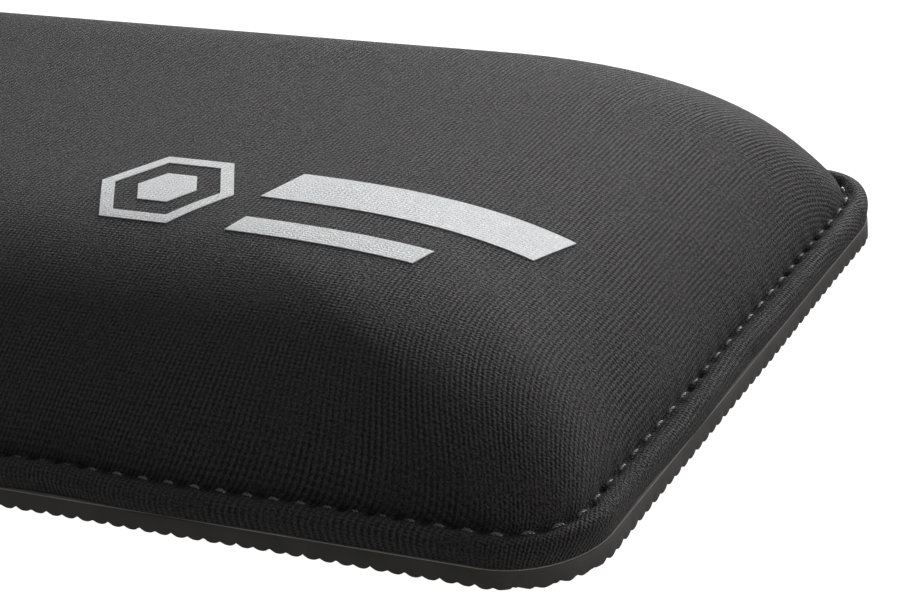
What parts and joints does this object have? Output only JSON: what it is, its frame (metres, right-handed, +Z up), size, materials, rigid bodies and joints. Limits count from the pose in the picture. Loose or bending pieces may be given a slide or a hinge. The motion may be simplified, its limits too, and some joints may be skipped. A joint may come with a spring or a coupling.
{
  "type": "wrist rest",
  "caption": "Long padded keyboard wrist rest with a black knit cover, a stitched rolled edge and a treaded rubber base.",
  "frame": {"origin": "centre of the footprint, on the surface that the rest lies on", "axes": "+X along the length, +Y towards the keyboard side, +Z up"},
  "size_m": [0.4444, 0.1016, 0.0255],
  "materials": {
    "base_rubber": "matte moulded",
    "adhesive": "cured film",
    "core_foam": "open-cell foam",
    "lining_foam": "fine-cell foam",
    "knit": "fine jersey knit",
    "thread": "twisted thread",
    "print": "raised transfer print"
  },
  "bodies": {
    "root": {"rubber_base": "base_rubber", "base_adhesive": "adhesive", "foam_core": "core_foam", "foam_lining": "lining_foam", "knit_cover": "knit", "needle_thread": "thread", "bobbin_thread": "thread", "printed_emblem": "print", "printed_bars": "print"}
  },
  "joints": []
}
